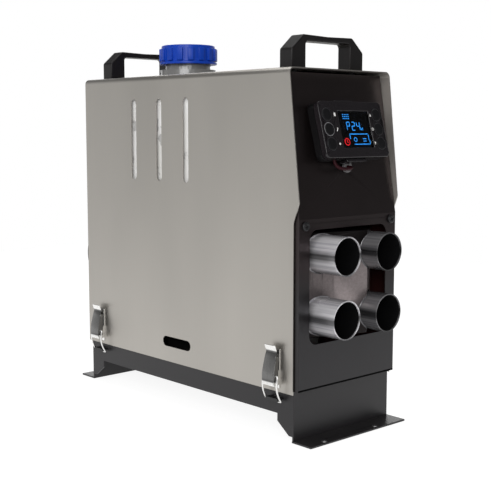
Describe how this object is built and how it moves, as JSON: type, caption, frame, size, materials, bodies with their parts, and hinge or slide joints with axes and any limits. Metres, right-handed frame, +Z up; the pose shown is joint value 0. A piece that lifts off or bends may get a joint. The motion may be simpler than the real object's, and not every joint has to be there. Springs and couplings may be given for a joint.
{
  "type": "diesel heater",
  "caption": "Upright portable diesel air heater: steel cover latched to a black tray with feet, tilted control unit, round warm air outlets, carry handles and a blue screw cap on the tank.",
  "frame": {"origin": "on the floor, in the middle of the base tray", "axes": "+Z up, -Y out of the front with the outlets and the control unit, +X to the right seen from behind the heater's front"},
  "size_m": [0.1732, 0.4227, 0.4135],
  "materials": {
    "cover_steel": "brushed, satin",
    "black_paint": "satin powder coat",
    "tray_paint": "satin powder coat",
    "handle_black": "fine satin",
    "cap_blue": "satin moulded",
    "tank_white": "milky, satin",
    "latch_steel": "bright plated",
    "hook_black": "black plated",
    "screw_black": "black oxide",
    "duct_steel": "polished, turned",
    "unit_black": "gloss",
    "button_black": "satin",
    "lens_clear": "clear",
    "display_dark": "dark display",
    "board_green": "solder mask",
    "rubber_black": "matt",
    "lead_red": "satin",
    "zinc_steel": "zinc plated",
    "cast_aluminium": "as cast",
    "inner_black": "satin"
  },
  "bodies": {
    "case": {"base_tray": "tray_paint", "cover_shell": "cover_steel", "front_panel": "black_paint", "rear_panel": "black_paint", "front_handle": "handle_black", "rear_handle": "handle_black", "case_screws": "screw_black", "latch_plates": "latch_steel", "latch_pins": "latch_steel", "catch_hooks": "hook_black", "tank_shelf": "zinc_steel", "fuel_tank": "tank_white", "fuel_pump": "zinc_steel", "pump_mount": "rubber_black", "fuel_lines": "rubber_black", "controller_front": "unit_black", "controller_back": "unit_black", "display_lens": "lens_clear", "lcd_display": "display_dark", "controller_board": "board_green", "controller_bracket": "unit_black", "controller_lead": "lead_red", "lead_grommet": "rubber_black", "heater_control_box": "inner_black", "outlet_face": "duct_steel", "outlet_chamber": "duct_steel", "outlet_stub_upper_left": "duct_steel", "outlet_stub_upper_right": "duct_steel", "outlet_stub_lower_left": "duct_steel", "outlet_stub_lower_right": "duct_steel", "heater_upper_shell": "inner_black", "heater_lower_shell": "inner_black", "heat_exchanger": "cast_aluminium", "burner_tube": "duct_steel", "glow_plug": "zinc_steel", "blower_housing": "cast_aluminium", "motor": "zinc_steel", "heater_stool": "zinc_steel", "exhaust_pipe": "duct_steel", "air_pipe": "duct_steel", "intake_guard": "inner_black", "power_gland": "inner_black"},
    "lever_front_left": {"latch_lever_front_left": "latch_steel"},
    "bail_front_left": {"latch_bail_front_left": "latch_steel"},
    "lever_front_right": {"latch_lever_front_right": "latch_steel"},
    "bail_front_right": {"latch_bail_front_right": "latch_steel"},
    "lever_rear_left": {"latch_lever_rear_left": "latch_steel"},
    "bail_rear_left": {"latch_bail_rear_left": "latch_steel"},
    "lever_rear_right": {"latch_lever_rear_right": "latch_steel"},
    "bail_rear_right": {"latch_bail_rear_right": "latch_steel"},
    "cap_lift_ring": {"cap_seal": "rubber_black"},
    "cap": {"fuel_cap": "cap_blue"},
    "button_left_upper": {"button_left_upper": "button_black"},
    "button_left_middle": {"button_left_middle": "button_black"},
    "button_left_lower": {"button_left_lower": "button_black"},
    "button_right_upper": {"button_right_upper": "button_black"},
    "button_right_middle": {"button_right_middle": "button_black"},
    "button_right_lower": {"button_right_lower": "button_black"},
    "rotor": {"motor_shaft": "zinc_steel", "combustion_wheel": "cast_aluminium", "warm_air_fan": "inner_black"}
  },
  "joints": [
    {"name": "lever_hinge_front_left", "type": "hinge", "parent": "case", "child": "lever_front_left", "pos_m": [-0.081, -0.156, 0.061], "axis": [0, -1, 0], "range_deg": [0, 100]},
    {"name": "bail_hinge_front_left", "type": "hinge", "parent": "lever_front_left", "child": "bail_front_left", "pos_m": [-0.08222, -0.156, 0.06789], "axis": [0, -1, 0], "range_deg": [-88, 0]},
    {"name": "lever_hinge_front_right", "type": "hinge", "parent": "case", "child": "lever_front_right", "pos_m": [0.081, -0.156, 0.061], "axis": [0, 1, 0], "range_deg": [0, 100]},
    {"name": "bail_hinge_front_right", "type": "hinge", "parent": "lever_front_right", "child": "bail_front_right", "pos_m": [0.08222, -0.156, 0.06789], "axis": [0, 1, 0], "range_deg": [-88, 0]},
    {"name": "lever_hinge_rear_left", "type": "hinge", "parent": "case", "child": "lever_rear_left", "pos_m": [-0.081, 0.156, 0.061], "axis": [0, -1, 0], "range_deg": [0, 100]},
    {"name": "bail_hinge_rear_left", "type": "hinge", "parent": "lever_rear_left", "child": "bail_rear_left", "pos_m": [-0.08222, 0.156, 0.06789], "axis": [0, -1, 0], "range_deg": [-88, 0]},
    {"name": "lever_hinge_rear_right", "type": "hinge", "parent": "case", "child": "lever_rear_right", "pos_m": [0.081, 0.156, 0.061], "axis": [0, 1, 0], "range_deg": [0, 100]},
    {"name": "bail_hinge_rear_right", "type": "hinge", "parent": "lever_rear_right", "child": "bail_rear_right", "pos_m": [0.08222, 0.156, 0.06789], "axis": [0, 1, 0], "range_deg": [-88, 0]},
    {"name": "cap_lift", "type": "slide", "parent": "case", "child": "cap_lift_ring", "axis": [0, 0, 1], "range_m": [0, 0.024]},
    {"name": "cap_turn", "type": "hinge", "parent": "cap_lift_ring", "child": "cap", "pos_m": [0, 0.074, 0.391], "axis": [0, 0, 1], "range_deg": [0, 1080]},
    {"name": "press_left_upper", "type": "slide", "parent": "case", "child": "button_left_upper", "axis": [0, 0.9636, -0.2672], "range_m": [0, 0.0008], "stiffness_N_per_m": 500, "springref_m": -0.001},
    {"name": "press_left_middle", "type": "slide", "parent": "case", "child": "button_left_middle", "axis": [0, 0.9636, -0.2672], "range_m": [0, 0.0008], "stiffness_N_per_m": 500, "springref_m": -0.001},
    {"name": "press_left_lower", "type": "slide", "parent": "case", "child": "button_left_lower", "axis": [0, 0.9636, -0.2672], "range_m": [0, 0.0008], "stiffness_N_per_m": 500, "springref_m": -0.001},
    {"name": "press_right_upper", "type": "slide", "parent": "case", "child": "button_right_upper", "axis": [0, 0.9636, -0.2672], "range_m": [0, 0.0008], "stiffness_N_per_m": 500, "springref_m": -0.001},
    {"name": "press_right_middle", "type": "slide", "parent": "case", "child": "button_right_middle", "axis": [0, 0.9636, -0.2672], "range_m": [0, 0.0008], "stiffness_N_per_m": 500, "springref_m": -0.001},
    {"name": "press_right_lower", "type": "slide", "parent": "case", "child": "button_right_lower", "axis": [0, 0.9636, -0.2672], "range_m": [0, 0.0008], "stiffness_N_per_m": 500, "springref_m": -0.001},
    {"name": "rotor_spin", "type": "hinge", "parent": "case", "child": "rotor", "pos_m": [0, 0.09, 0.1572], "axis": [0, 1, 0], "continuous": true}
  ],
  "couplings": [
    {"joint": "bail_hinge_front_left", "follows": "lever_hinge_front_left", "ratio": -0.88},
    {"joint": "bail_hinge_front_right", "follows": "lever_hinge_front_right", "ratio": -0.88},
    {"joint": "bail_hinge_rear_left", "follows": "lever_hinge_rear_left", "ratio": -0.88},
    {"joint": "bail_hinge_rear_right", "follows": "lever_hinge_rear_right", "ratio": -0.88},
    {"joint": "cap_lift", "follows": "cap_turn", "m_per_rad": 0.0012732}
  ]
}
